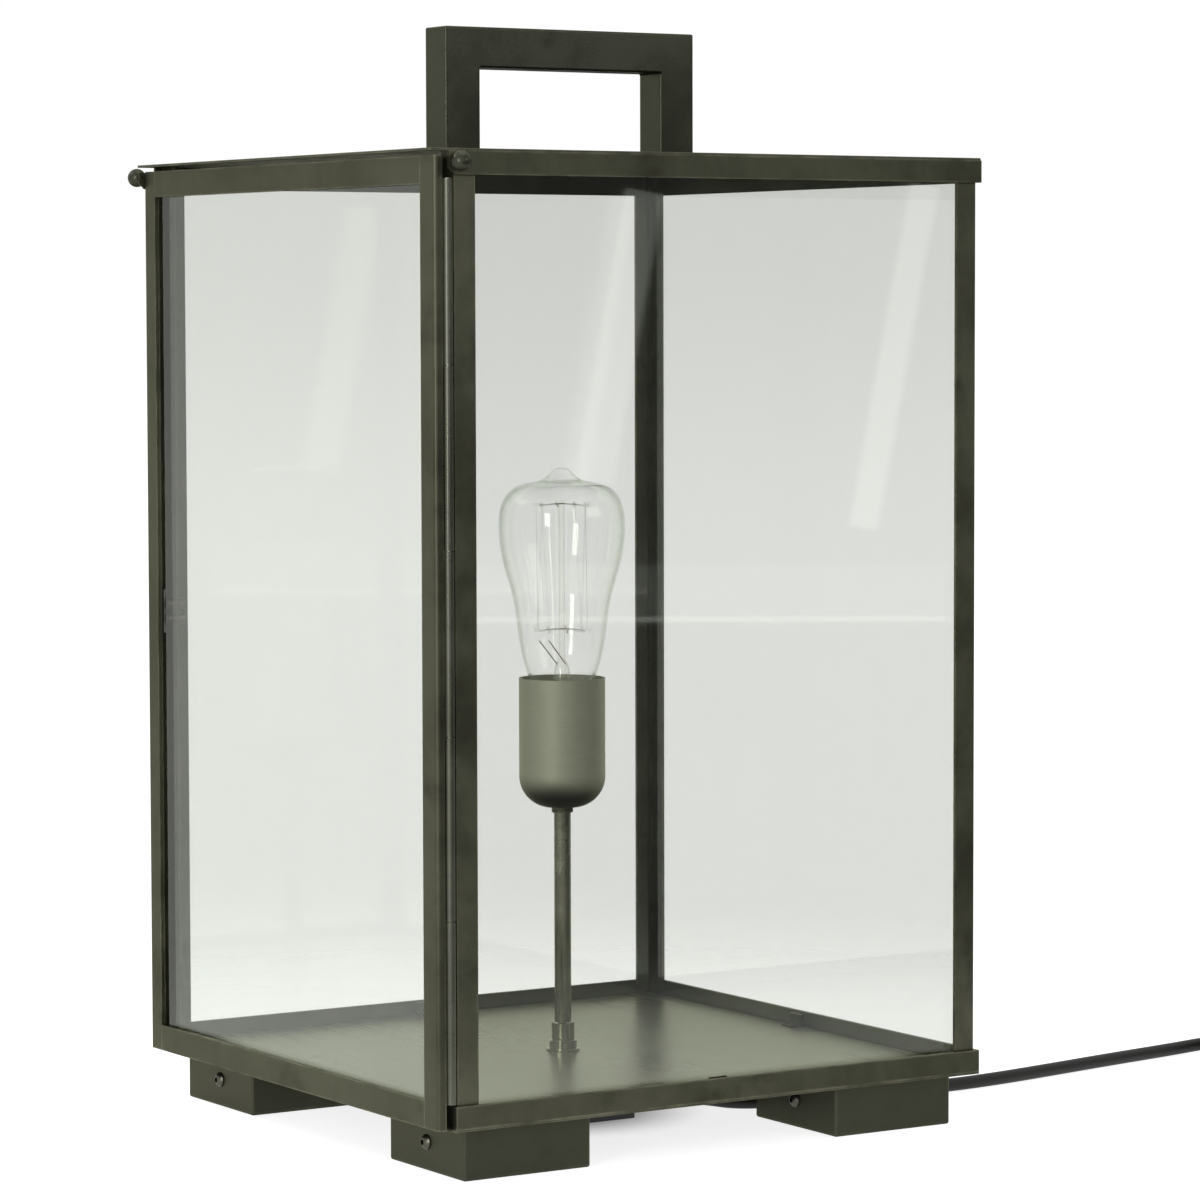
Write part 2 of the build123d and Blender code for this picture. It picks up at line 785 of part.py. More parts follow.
hook_angle = 360 / hook_count
hook_centres = ((hook_low, 0.5), (hook_high, 0.0))
with BuildPart() as bulb_filament:
    for z, phase in hook_centres:
        rod(up(0, stem_y, z - ring_height / 2), rod_r + ring_wall, ring_height)
        rod(up(0, stem_y, z - ring_height / 2), rod_r + run, ring_height, Mode.SUBTRACT)
    for z, phase in hook_centres:
        for index in range(hook_count):
            turn = math.radians((index + phase) * hook_angle)
            toward = (math.cos(turn), math.sin(turn), 0)
            start = (toward[0] * (rod_r + hook_bed), stem_y + toward[1] * (rod_r + hook_bed), z)
            rod(Plane(start, z_dir=toward), hook_wire / 2, hook_reach - rod_r)
    tips = []
    for index in range(hook_count * 2):
        turn = math.radians(index * hook_angle / 2)
        level = hook_high if index % 2 == 0 else hook_low
        reach = hook_reach - hook_wire
        tips.append(Vector(reach * math.cos(turn), stem_y + reach * math.sin(turn), level))
    for first, second in zip(tips, tips[1:]):
        rod(Plane(first, z_dir=second - first), filament_wire / 2, (second - first).length)
save(bulb_filament, "bulb_filament")

# Terminal box under the base
box_y = (stem_y - box_front, stem_y + box_back)
with BuildPart() as terminal_box:
    block((-box_left, box_right), box_y, (box_bottom, foot_height))
    block(
        (-box_left + box_wall, box_right - box_wall),
        (box_y[0] + box_wall, box_y[1] - box_wall),
        (box_bottom + box_wall, foot_height),
        Mode.SUBTRACT,
    )
    for x, y in box_screw_spots:
        rod(up(x, y, box_bottom), boss_d / 2, foot_height - box_bottom)
        rod(up(x, y, foot_height - 9), screw_d / 2 + run, 9, Mode.SUBTRACT)
    rod(back(gland_x, box_y[1] - box_wall, gland_z), cable_d / 2 + run, box_wall, Mode.SUBTRACT)
save(terminal_box, "terminal_box")

block_right = stem_d + 16
wire_z = box_bottom + box_wall + 4
with BuildPart() as terminal_block:
    block((stem_d, block_right), (stem_y - 8, stem_y + 5), (box_bottom + box_wall, box_bottom + box_wall + 9))
save(terminal_block, "terminal_block")

with BuildPart() as lamp_wires:
    for side in (-1, 1):
        y = stem_y + side * wire_y
        with BuildLine() as wire_path:
            FilletPolyline((stem_d, y, wire_z), (0, y, wire_z), (0, y, shell_bottom), radius=3)
        with BuildSketch(Plane((stem_d, y, wire_z), z_dir=(-1, 0, 0))):
            Circle(wire_d / 2)
        sweep(path=wire_path.wire())
save(lamp_wires, "lamp_wires")

# Strain relief: a short flange against the box, then a taper down to the cable
gland_start = box_y[1]
gland_end = gland_start + gland_length
with BuildPart() as cable_gland:
    rod(back(gland_x, gland_start, gland_z), gland_d / 2, 3)
    with BuildSketch(back(gland_x, gland_start + 3, gland_z)):
        Circle(gland_d / 2 - 1)
    with BuildSketch(back(gland_x, gland_end, gland_z)):
        Circle(cable_d / 2 + 0.8)
    loft()
    rod(back(gland_x, gland_start - box_wall, gland_z), cable_d / 2, box_wall)
save(cable_gland, "cable_gland")

# Cable: from the strain relief down to the table, out behind the lantern to the coil
tie_lift = tie_thick + seat
lower_z = cable_d / 2 + tie_lift
upper_z = lower_z + layer_pitch
lie = cable_d / 2
coil_start = (36.0, stem_y + 415.0, lower_z)
cable_route = [
    (gland_x, gland_end, gland_z),
    (gland_x, gland_end + 13, gland_z),
    (gland_x + 2, gland_end + 28, gland_z - 2.4),
    (gland_x + 6, gland_end + 45, lie + 0.4),
    (56.0, stem_y + 99, lie),
    (58.0, stem_y + 129, lie),
    (61.5, stem_y + 163, lie),
    (64.8, stem_y + 196, lie),
    (61.0, stem_y + 235, lie),
    (53.0, stem_y + 279, lie),
    (44.5, stem_y + 325, lie),
    (38.5, stem_y + 363, lie),
    (coil_start[0], coil_start[1] - 20, lower_z),
    coil_start,
]


def bend_radii(points):
    """Radius for each corner of a route, from its shorter run and its turn."""
    radii = []
    for a, b, c in zip(points, points[1:], points[2:]):
        run_in = Vector(*b) - Vector(*a)
        run_out = Vector(*c) - Vector(*b)
        half_turn = math.radians(run_in.get_angle(run_out)) / 2
        radii.append(0.45 * min(run_in.length, run_out.length) / math.tan(half_turn))
    return radii


cable_radii = bend_radii(cable_route)
with BuildPart() as cable:
    with BuildLine() as cable_path:
        FilletPolyline(*cable_route, radius=cable_radii)
    with BuildSketch(Plane(cable_route[0], z_dir=Vector(*cable_route[1]) - Vector(*cable_route[0]))):
        Circle(cable_d / 2)
    sweep(path=cable_path.wire())
save(cable, "cable")

# Coil: spirals in on the table, climbs half a turn, spirals out above
coil_x = coil_start[0] + coil_outer_r
coil_y = coil_start[1] + cable_d
quarters = round(coil_turns * 4)
coil_steps = 2 * quarters + 2


def coil_point(step):
    """Point and direction on the coil after a number of quarter turns."""
    turnback = quarters + 1
    climb = min(max(step - quarters, 0), 2) / 2
    radius = coil_outer_r - coil_pitch / 4 * min(step, coil_steps - step)
    angle = math.pi - step * math.pi / 2
    drift = coil_pitch / (2 * math.pi) * ((step > turnback) - (step < turnback))
    if step in (0, coil_steps):
        drift = 0
    rise = 1.4 * layer_pitch / math.pi if step == turnback else 0
    point = Vector(
        coil_x + radius * math.cos(angle),
        coil_y + radius * math.sin(angle),
        lower_z + climb * layer_pitch,
    )
    way = Vector(
        radius * math.sin(angle) + drift * math.cos(angle),
        -radius * math.cos(angle) + drift * math.sin(angle),
        rise,
    )
    return point, way.normalized()


def biarc(first, first_way, last, last_way):
    """Two arcs between points that leave and arrive along given directions."""
    chord = last - first
    ways = first_way + last_way
    a = 2 * (1 - first_way.dot(last_way))
    b = 2 * chord.dot(ways)
    reach = (-b + math.sqrt(b * b + 4 * a * chord.dot(chord))) / (2 * a)
    joint = (first + last) * 0.5 + (first_way - last_way) * (reach / 2)
    middle = (last - last_way * reach) - (first + first_way * reach)
    TangentArc(first, joint, tangent=first_way)
    TangentArc(joint, last, tangent=middle.normalized())


coil_points = [coil_point(step) for step in range(coil_steps + 1)]
coil_end, end_way = coil_points[-1]
coil_out = coil_end + end_way * plug_lead
with BuildPart() as cable_coil:
    with BuildLine() as coil_path:
        Line(coil_start, coil_points[0][0])
        for (first, first_way), (last, last_way) in zip(coil_points, coil_points[1:]):
            biarc(first, first_way, last, last_way)
        Line(coil_end, coil_out)
    with BuildSketch(Plane(coil_start, z_dir=(0, 1, 0))):
        Circle(cable_d / 2)
    sweep(path=coil_path.wire())
save(cable_coil, "cable_coil")


def least_gap(wire, thickness):
    """Least distance between stretches of a tube that are not next to each other."""
    count = int(wire.length / 3)
    spots = wire.positions([index / count for index in range(count + 1)])
    skip = int(3 * thickness / 3)
    least = math.inf
    for index, spot in enumerate(spots):
        for other in spots[index + skip:]:
            least = min(least, (spot - other).length)
    return least - thickness


cable_length = cable_path.wire().length + coil_path.wire().length
print("cable bend radii", [round(radius, 1) for radius in cable_radii])
print("coil least self gap", round(least_gap(coil_path.wire(), cable_d), 2))
print("cable volume over section times length",
      round(cable.part.volume / (math.pi * lie * lie * cable_path.wire().length), 4),
      round(cable_coil.part.volume / (math.pi * lie * lie * coil_path.wire().length), 4))
print("cable length", round(cable_length, 1))

# Tie round the coil, on its far side
tie_in = coil_outer_r - coil_pitch / 4 * quarters - cable_d / 2 - 1
tie_out = coil_outer_r + cable_d / 2 - coil_pitch / 4 + 2 * seat
tie_high = upper_z + cable_d / 2 + seat
with BuildPart() as cable_tie:
    tie_side = (coil_x - tie_width / 2, coil_x + tie_width / 2)
    block(tie_side, (coil_y + tie_in - tie_thick, coil_y + tie_out + tie_thick), (0, tie_high + tie_thick))
    block(tie_side, (coil_y + tie_in, coil_y + tie_out), (tie_thick, tie_high), Mode.SUBTRACT)
save(cable_tie, "cable_tie")

# Plug at the coil's end, lying flat
plug_plane = Plane(coil_out, x_dir=(1, 0, 0), z_dir=end_way)
plug_height = 2 * upper_z
body_plane = plug_plane.offset(plug_neck)
with BuildPart() as plug_body:
    with BuildSketch(body_plane):
        RectangleRounded(plug_width, plug_height, plug_height * 0.4)
    extrude(amount=plug_length)
    fillet(plug_body.faces().sort_by(Axis.Y)[0].edges(), 3)
    with BuildSketch(plug_plane):
        Circle(cable_d / 2 + 0.8)
    with BuildSketch(plug_plane.offset(plug_neck + 0.5)):
        Circle(7.5)
    loft()
save(plug_body, "plug_body")

with BuildPart() as plug_pins:
    with BuildSketch(body_plane.offset(plug_length)):
        with Locations((-plug_pin_spacing / 2, 0), (plug_pin_spacing / 2, 0)):
            Circle(plug_pin_d / 2)
    extrude(amount=plug_pin_length)
    fillet(plug_pins.faces().sort_by(Axis.Y)[-2:].edges(), 1.2)
save(plug_pins, "plug_pins")
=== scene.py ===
"""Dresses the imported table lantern: finishes, bulb wires, supply cable, studio and camera."""
import json
import logging
import math
from dataclasses import dataclass
from enum import Enum
from typing import Any, ClassVar, Optional, Union

import bpy
from mathutils import Matrix, Vector


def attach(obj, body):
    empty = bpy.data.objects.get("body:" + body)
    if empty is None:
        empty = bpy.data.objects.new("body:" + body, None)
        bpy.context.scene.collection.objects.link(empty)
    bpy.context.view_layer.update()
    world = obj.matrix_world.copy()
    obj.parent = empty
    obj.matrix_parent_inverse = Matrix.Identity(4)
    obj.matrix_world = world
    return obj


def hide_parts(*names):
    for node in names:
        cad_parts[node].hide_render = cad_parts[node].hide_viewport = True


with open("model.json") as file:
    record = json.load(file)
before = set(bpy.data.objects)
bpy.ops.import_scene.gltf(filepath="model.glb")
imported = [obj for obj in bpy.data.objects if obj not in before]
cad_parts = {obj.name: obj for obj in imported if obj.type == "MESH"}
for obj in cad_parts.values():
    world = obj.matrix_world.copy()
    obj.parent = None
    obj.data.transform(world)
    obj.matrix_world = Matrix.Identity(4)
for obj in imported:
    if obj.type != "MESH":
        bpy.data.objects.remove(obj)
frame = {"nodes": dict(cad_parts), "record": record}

LOG = logging.getLogger("lantern")
MM = 0.001
STEM_Y = 6.275 * MM
Colour = tuple[float, float, float, float]
Triple = tuple[float, float, float]
Range = tuple[float, float]
Input = Union["Signal", float, tuple]
Owner = Union[bpy.types.Material, bpy.types.World]
WHITE: Colour = (1.0, 1.0, 1.0, 1.0)
EVEN: Triple = (1.0, 1.0, 1.0)
# Heights that no piece reaches.
UNDER_TABLE: Range = (-1.0, -2.0)


class Signal:
    """A socket of a node graph that adds maths nodes where it stands in an expression."""

    def __init__(self, graph: "Graph", socket: bpy.types.NodeSocket) -> None:
        """Wrap one output socket of a graph."""
        self.graph = graph
        self.socket = socket

    def _maths(self, operation: str, first: Input, second: Input) -> "Signal":
        """Add one Math node.

        Args:
            operation: Name of the Math node's operation.
            first: First operand.
            second: Second operand.

        Returns:
            The node's value.
        """
        return self.graph.node("ShaderNodeMath", {"operation": operation}, {0: first, 1: second})

    def __add__(self, other: Input) -> "Signal":
        """Sum of two values."""
        return self._maths("ADD", self, other)

    def __sub__(self, other: Input) -> "Signal":
        """Difference of two values."""
        return self._maths("SUBTRACT", self, other)

    def __rsub__(self, other: Input) -> "Signal":
        """Number less this value."""
        return self._maths("SUBTRACT", other, self)

    def __mul__(self, other: Input) -> "Signal":
        """Product of two values."""
        return self._maths("MULTIPLY", self, other)

    def __pow__(self, other: Input) -> "Signal":
        """This value to a power."""
        return self._maths("POWER", self, other)

    __radd__ = __add__
    __rmul__ = __mul__

    def clamped(self) -> "Signal":
        """This value held between 0 and 1."""
        return self.graph.node("ShaderNodeClamp", {}, {0: self})

    def between(self, low: float, high: float) -> "Signal":
        """Smooth step from 0 at low to 1 at high.

        Args:
            low: Value that gives 0.
            high: Value that gives 1.

        Returns:
            The stepped value.
        """
        settings = {"interpolation_type": "SMOOTHSTEP"}
        return self.graph.node("ShaderNodeMapRange", settings, {0: self, 1: low, 2: high})


@dataclass(frozen=True)
class Layer:
    """One fractal noise: grains per metre, number and strength of finer layers, and a smooth step."""

    scale: float
    detail: float = 3.0
    rough: float = 0.55
    step: Optional[Range] = None


class Graph:
    """Node tree of a material or of the room, with one method that makes any node."""

    mix_factor: ClassVar[int] = 0
    mix_first: ClassVar[int] = 6
    mix_second: ClassVar[int] = 7
    mix_result: ClassVar[int] = 2
    bevel_samples: ClassVar[int] = 6

    def __init__(self, owner: Owner) -> None:
        """Start with an empty node tree.

        Args:
            owner: Material or world that the tree belongs to.
        """
        self.owner = owner
        owner.use_nodes = True
        self.tree = owner.node_tree
        self.tree.nodes.clear()

    @classmethod
    def of_material(cls, name: str) -> "Graph":
        """Graph of a new material."""
        return cls(bpy.data.materials.new(name))

    def node(self, kind: str, settings: dict[str, Any], inputs: dict[Any, Input], output: Any = 0) -> Signal:
        """Add a node.

        Args:
            kind: Node type.
            settings: Values of the node's own properties, set first.
            inputs: Values or signals by socket name or number.
            output: Name or number of the socket to return.

        Returns:
            The chosen output.
        """
        made = self.tree.nodes.new(kind)
        for key, value in settings.items():
            setattr(made, key, value)
        for key, value in inputs.items():
            if isinstance(value, Signal):
                self.tree.links.new(value.socket, made.inputs[key])
            else:
                made.inputs[key].default_value = value
        return Signal(self, made.outputs[output])

    def mix(self, factor: Input, first: Input, second: Input) -> Signal:
        """Mix two colours.

        Args:
            factor: 0 for the first colour, 1 for the second.
            first: First colour.
            second: Second colour.

        Returns:
            The mixed colour.
        """
        inputs = {self.mix_factor: factor, self.mix_first: first, self.mix_second: second}
        return self.node("ShaderNodeMix", {"data_type": "RGBA"}, inputs, self.mix_result)

    def dot(self, first: Input, second: Input) -> Signal:
        """Dot product of two vectors."""
        inputs = {0: first, 1: second}
        return self.node("ShaderNodeVectorMath", {"operation": "DOT_PRODUCT"}, inputs, "Value")

    def vertical(self, vector: Signal) -> Signal:
        """Z of a vector."""
        return self.node("ShaderNodeSeparateXYZ", {}, {0: vector}, "Z")

    def normal(self) -> Signal:
        """Which way the surface faces."""
        return self.node("ShaderNodeNewGeometry", {}, {}, "Normal")

    def place(self, stretch: Triple = EVEN) -> Signal:
        """Position on the object, stretched along its axes.

        Args:
            stretch: Factor along each axis.

        Returns:
            The stretched position.
        """
        here = self.node("ShaderNodeTexCoord", {}, {}, "Object")
        return self.node("ShaderNodeVectorMath", {"operation": "MULTIPLY"}, {0: here, 1: stretch})

    def noise(self, layer: Layer, stretch: Triple = EVEN) -> Signal:
        """Fractal noise over the object.

        Args:
            layer: Its grain and its step.
            stretch: Factor on the position along each axis.

        Returns:
            Noise about 0.5, or its smooth step from 0 to 1.
        """
        where = self.place(stretch)
        inputs = {"Vector": where, "Scale": layer.scale, "Detail": layer.detail, "Roughness": layer.rough}
        plain = self.node("ShaderNodeTexNoise", {}, inputs)
        return plain.between(*layer.step) if layer.step else plain

    def edges(self, radius: float) -> Signal:
        """How near a point is to a sharp edge.

        Args:
            radius: Width of the band beside an edge, in metres.

        Returns:
            0 on a flat face, rising at an edge.
        """
        rounded = self.node("ShaderNodeBevel", {"samples": self.bevel_samples}, {"Radius": radius})
        return (1.0 - self.dot(rounded, self.normal())).clamped()

    def downward(self) -> Signal:
        """How far a face looks down: 1 underneath, -1 on top."""
        return self.vertical(self.normal()) * -1.0

    def bump(self, height: Signal, strength: float, depth: float) -> Signal:
        """Normal of a slightly uneven surface.

        Args:
            height: Height from 0 to 1.
            strength: Share of the effect.
            depth: Height of 1, in metres.

        Returns:
            The bent normal.
        """
        inputs = {"Strength": strength, "Distance": depth, "Height": height}
        return self.node("ShaderNodeBump", {}, inputs, "Normal")

    def surface(self, inputs: dict[Any, Input]) -> Signal:
        """Principled shader with some of its inputs set by name."""
        return self.node("ShaderNodeBsdfPrincipled", {}, inputs)

    def clear(self, colour: Colour) -> Signal:
        """Shader that lets a colour of light straight through."""
        return self.node("ShaderNodeBsdfTransparent", {}, {"Color": colour})

    def blend(self, factor: Signal, first: Signal, second: Signal) -> Signal:
        """Mix two shaders, 0 for the first and 1 for the second."""
        return self.node("ShaderNodeMixShader", {}, {0: factor, 1: first, 2: second})

    def finish(self, shader: Signal, kind: str = "ShaderNodeOutputMaterial") -> Owner:
        """End the graph with a shader.

        Args:
            shader: What the surface or the room shows.
            kind: Type of the output node.

        Returns:
            The material or world.
        """
        end = self.tree.nodes.new(kind)
        self.tree.links.new(shader.socket, end.inputs["Surface"])
        return self.owner


@dataclass(frozen=True)
class Patina:
    """Dark olive patina on brass: cloudy, a little stained, worn bright at the edges, rougher underneath and
    darkened there by painted shade.
    """

    name: str
    base: Colour = (0.040, 0.041, 0.027, 1.0)
    # Stain colour, also used for the painted shade on faces that look down.
    stain_and_under_shade: Colour = (0.017, 0.0165, 0.011, 1.0)
    bloom: Colour = (0.084, 0.086, 0.059, 1.0)
    bare: Colour = (0.36, 0.34, 0.25, 1.0)
    sheen: Colour = (0.70, 0.71, 0.60, 1.0)
    metallic: float = 0.85
    roughness: float = 0.38
    streaks: float = 0.08
    wear: float = 0.4
    edge: float = 1.8 * MM
    edge_gain: float = 3.0
    clouds: Layer = Layer(17.0, 6.0, 0.62, (0.36, 0.66))
    blotches: Layer = Layer(22.0, 5.0, 0.6, (0.56, 0.76))
    wipes: Layer = Layer(120.0, step=(0.35, 0.75))
    wipe_stretch: Triple = (1.0, 1.0, 0.06)
    rubs: Layer = Layer(60.0, 4.0, step=(0.3, 0.7))
    grain: Layer = Layer(900.0, 2.0)
    # Painted shade on faces that look down: where it starts and how strong it is.
    under_shade_range: Range = (0.4, 0.9)
    cloud_share: float = 0.55
    stain_share: float = 0.7
    under_shade_share: float = 0.8
    cloud_rough: float = 0.12
    grain_rough: float = 0.05
    mean_rough: float = 0.08
    worn_gloss: float = 0.10
    stain_gloss: float = 0.06
    under_rough: float = 0.3
    grain_height: float = 0.7
    wipe_height: float = 0.3
    bump: float = 0.05
    bump_depth: float = 0.15 * MM

    def build(self) -> bpy.types.Material:
        """Make the material.

        Returns:
            The material.
        """
        graph = Graph.of_material(self.name)
        clouds = graph.noise(self.clouds)
        blotches = graph.noise(self.blotches)
        wiped = graph.noise(self.wipes, self.wipe_stretch)
        grain = graph.noise(self.grain)
        worn = (graph.edges(self.edge) * self.edge_gain * graph.noise(self.rubs)).clamped()
        painted_under_shade = graph.downward().between(*self.under_shade_range)
        pale = (clouds * self.cloud_share + wiped * self.streaks).clamped()
        colour = graph.mix(pale, self.base, self.bloom)
        colour = graph.mix(blotches * self.stain_share, colour, self.stain_and_under_shade)
        colour = graph.mix(worn * self.wear, colour, self.bare)
        # Painted shade: faces that look down are darkened towards the stain colour.
        colour = graph.mix(painted_under_shade * self.under_shade_share, colour, self.stain_and_under_shade)
        rough = clouds * self.cloud_rough + grain * self.grain_rough + (self.roughness - self.mean_rough)
        rough = rough - worn * self.worn_gloss - blotches * self.stain_gloss + painted_under_shade * self.under_rough
        height = grain * self.grain_height + wiped * self.wipe_height
        inputs = {
            "Base Color": colour,
            "Metallic": self.metallic,
            "Roughness": rough.clamped(),
            "Specular Tint": self.sheen,
            "Normal": graph.bump(height, self.bump, self.bump_depth),
        }
        return graph.finish(graph.surface(inputs))


@dataclass(frozen=True)
class BrushedMetal:
    """Satin metal with grain lines drawn one way, darkening from one height of its shadow to the other."""

    name: str
    base: Colour
    shade: Colour
    stretch: Triple
    roughness: float = 0.3
    shadow: Range = UNDER_TABLE
    shadow_colour: Colour = (0.02, 0.02, 0.014, 1.0)
    shadow_share: float = 0.95
    sheen: Colour = (0.86, 0.88, 0.74, 1.0)
    lines: Layer = Layer(1500.0, 4.0, 0.6, (0.2, 0.8))
    clouds: Layer = Layer(9.0, step=(0.35, 0.7))
    line_share: float = 0.7
    cloud_share: float = 0.3
    line_rough: float = 0.08
    cloud_rough: float = 0.06
    mean_rough: float = 0.06
    bump: float = 0.02
    bump_depth: float = 0.03 * MM

    def build(self) -> bpy.types.Material:
        """Make the material.

        Returns:
            The material.
        """
        graph = Graph.of_material(self.name)
        drawn = graph.noise(self.lines, self.stretch)
        clouds = graph.noise(self.clouds)
        shaded = graph.vertical(graph.place()).between(*self.shadow) * self.shadow_share
        colour = graph.mix(drawn * self.line_share + clouds * self.cloud_share, self.shade, self.base)
        colour = graph.mix(shaded, colour, self.shadow_colour)
        rough = drawn * self.line_rough + clouds * self.cloud_rough + (self.roughness - self.mean_rough)
        inputs = {
            "Base Color": colour,
            "Metallic": 1.0,
            "Roughness": rough.clamped(),
            "Specular Tint": self.sheen,
            "Normal": graph.bump(drawn, self.bump, self.bump_depth),
        }
        return graph.finish(graph.surface(inputs))


@dataclass(frozen=True)
class ClearGlass:
    """Clear glass: light passes straight through, more of it is mirrored at a low angle."""

    name: str
    clear: Colour
    slant: Colour
    turn: float = 3.0
    mirror: float = 0.04
    mirror_turn: float = 5.0
    gloss: Colour = (0.94, 0.97, 0.89, 1.0)
    gloss_roughness: float = 0.02
    facing_blend: float = 0.5

    def build(self) -> bpy.types.Material:
        """Make the material.

        Returns:
            The material.
        """
        graph = Graph.of_material(self.name)
        facing = graph.node("ShaderNodeLayerWeight", {}, {"Blend": self.facing_blend}, "Facing")
        through = graph.blend(facing**self.turn, graph.clear(self.clear), graph.clear(self.slant))
        inputs = {"Base Color": self.gloss, "Metallic": 1.0, "Roughness": self.gloss_roughness}
        share = facing**self.mirror_turn * (1.0 - self.mirror) + self.mirror
        return graph.finish(graph.blend(share, through, graph.surface(inputs)))


@dataclass(frozen=True)
class PlainCoat:
    """One colour with a fine uneven gloss."""

    name: str
    colour: Colour
    roughness: float
    metallic: float = 0.0
    specular: float = 0.5
    uneven: Layer = Layer(260.0)
    uneven_rough: float = 0.06

    def build(self) -> bpy.types.Material:
        """Make the material.

        Returns:
            The material.
        """
        graph = Graph.of_material(self.name)
        uneven = graph.noise(self.uneven) * self.uneven_rough
        inputs = {
            "Base Color": self.colour,
            "Metallic": self.metallic,
            "Roughness": uneven + (self.roughness - self.uneven_rough / 2),
            "Specular IOR Level": self.specular,
        }
        return graph.finish(graph.surface(inputs))


class Finish(Enum):
    """Finishes, each named as its material slot in the record where it has one."""

    PATINA = "patina"
    RUBBED = "rubbed_patina"
    HANDLED_AND_SHADED = "handled_patina"
    HIGHLIT_KNUCKLE = "knuckle_patina"
    WORN_AND_SHADED = "worn_patina"
    LIT_POST = "post_patina"
    COLLAR = "brushed_collar"
    BRUSHED = "brushed"
    PANE = "pane_glass"
    BULB = "bulb_glass"
    MOUNT = "mount_glass"
    STEEL = "steel"
    DARK_SCREW = "dark_screw"
    CUP = "cup"
    PORCELAIN = "porcelain"
    CONTACT = "contact"
    CAP = "cap"
    WIRE = "wire"
    RUBBER = "cable_rubber"
    PLASTIC = "black_plastic"
    TIE = "tie"
    PIN = "pin_metal"


class Workshop:
    """Makes each finish once and hands out its material."""

    recipes: ClassVar[dict[Finish, Union[Patina, BrushedMetal, ClearGlass, PlainCoat]]] = {
        Finish.PATINA: Patina("patina"),
        Finish.RUBBED: Patina(
            "rubbed_patina",
            bloom=(0.235, 0.236, 0.176, 1.0),
            streaks=0.75,
            roughness=0.26,
        ),
        # Smoother patina where hands rub, made darker as painted shade on the handle, balls and clips.
        Finish.HANDLED_AND_SHADED: Patina(
            "handled_patina",
            base=(0.034, 0.035, 0.025, 1.0),
            bloom=(0.052, 0.053, 0.039, 1.0),
            roughness=0.28,
            wear=0.1,
        ),
        # Lighter copy of the patina for the hinge knuckles: painted highlight on the barrel.
        Finish.HIGHLIT_KNUCKLE: Patina(
            "knuckle_patina",
            base=(0.070, 0.072, 0.056, 1.0),
            bloom=(0.110, 0.113, 0.090, 1.0),
            roughness=0.30,
            wear=0.1,
        ),
        # Feet: more wear at the edges, and a darker patina as painted shade.
        Finish.WORN_AND_SHADED: Patina(
            "worn_patina",
            base=(0.034, 0.035, 0.024, 1.0),
            bloom=(0.052, 0.054, 0.037, 1.0),
            wear=0.8,
            edge=2.2 * MM,
        ),
        # Lighter copy of the patina for the corner posts: painted light.
        Finish.LIT_POST: Patina(
            "post_patina",
            base=(0.058, 0.059, 0.040, 1.0),
            bloom=(0.116, 0.118, 0.082, 1.0),
            roughness=0.36,
        ),
        Finish.COLLAR: BrushedMetal(
            "brushed_collar",
            base=(0.30, 0.303, 0.232, 1.0),
            shade=(0.16, 0.162, 0.122, 1.0),
            stretch=(1.0, 1.0, 0.02),
            roughness=0.2,
        ),
        Finish.BRUSHED: BrushedMetal(
            "brushed_floor",
            base=(0.30, 0.307, 0.238, 1.0),
            shade=(0.12, 0.122, 0.094, 1.0),
            stretch=(0.004, 1.0, 1.0),
        ),
        Finish.CUP: BrushedMetal(
            "spun_cup",
            base=(0.345, 0.356, 0.270, 1.0),
            shade=(0.28, 0.288, 0.215, 1.0),
            stretch=(0.05, 0.05, 1.0),
            roughness=0.56,
            shadow=(0.174, 0.160),
        ),
        Finish.PANE: ClearGlass(
            "pane_glass",
            clear=(0.906, 0.910, 0.900, 1.0),
            slant=(0.80, 0.85, 0.81, 1.0),
        ),
        Finish.BULB: ClearGlass(
            "bulb_glass",
            clear=(0.998, 0.999, 0.998, 1.0),
            slant=(0.56, 0.59, 0.56, 1.0),
            turn=5.0,
            mirror=0.03,
        ),
        Finish.MOUNT: ClearGlass(
            "mount_glass",
            clear=(0.985, 0.985, 0.975, 1.0),
            slant=(0.50, 0.49, 0.40, 1.0),
            mirror=0.08,
        ),
        Finish.STEEL: PlainCoat("zinc_steel", (0.42, 0.42, 0.41, 1.0), 0.35, metallic=1.0),
        Finish.DARK_SCREW: PlainCoat("blackened_steel", (0.085, 0.083, 0.066, 1.0), 0.32, metallic=1.0),
        Finish.PORCELAIN: PlainCoat("porcelain", (0.80, 0.79, 0.75, 1.0), 0.18),
        Finish.CONTACT: PlainCoat("bare_brass", (0.62, 0.45, 0.20, 1.0), 0.3, metallic=1.0),
        Finish.CAP: PlainCoat("rolled_aluminium", (0.62, 0.62, 0.61, 1.0), 0.28, metallic=1.0),
        Finish.WIRE: PlainCoat("drawn_wire", (0.30, 0.265, 0.205, 1.0), 0.3, metallic=1.0),
        Finish.RUBBER: PlainCoat("cable_rubber", (0.011, 0.011, 0.010, 1.0), 0.50, specular=0.25),
        Finish.PLASTIC: PlainCoat("black_plastic", (0.018, 0.018, 0.018, 1.0), 0.5),
        Finish.TIE: PlainCoat("woven_tie", (0.02, 0.02, 0.021, 1.0), 0.85),
        Finish.PIN: PlainCoat("nickel_pin", (0.68, 0.66, 0.62, 1.0), 0.18, metallic=1.0),
    }

    def __init__(self) -> None:
        """Start with no material made."""
        self.made: dict[Finish, bpy.types.Material] = {}

    def material(self, finish: Finish) -> bpy.types.Material:
        """Material of a finish, made on first use.

        Args:
            finish: Which finish.

        Returns:
            The material.
        """
        if finish not in self.made:
            self.made[finish] = self.recipes[finish].build()
        return self.made[finish]


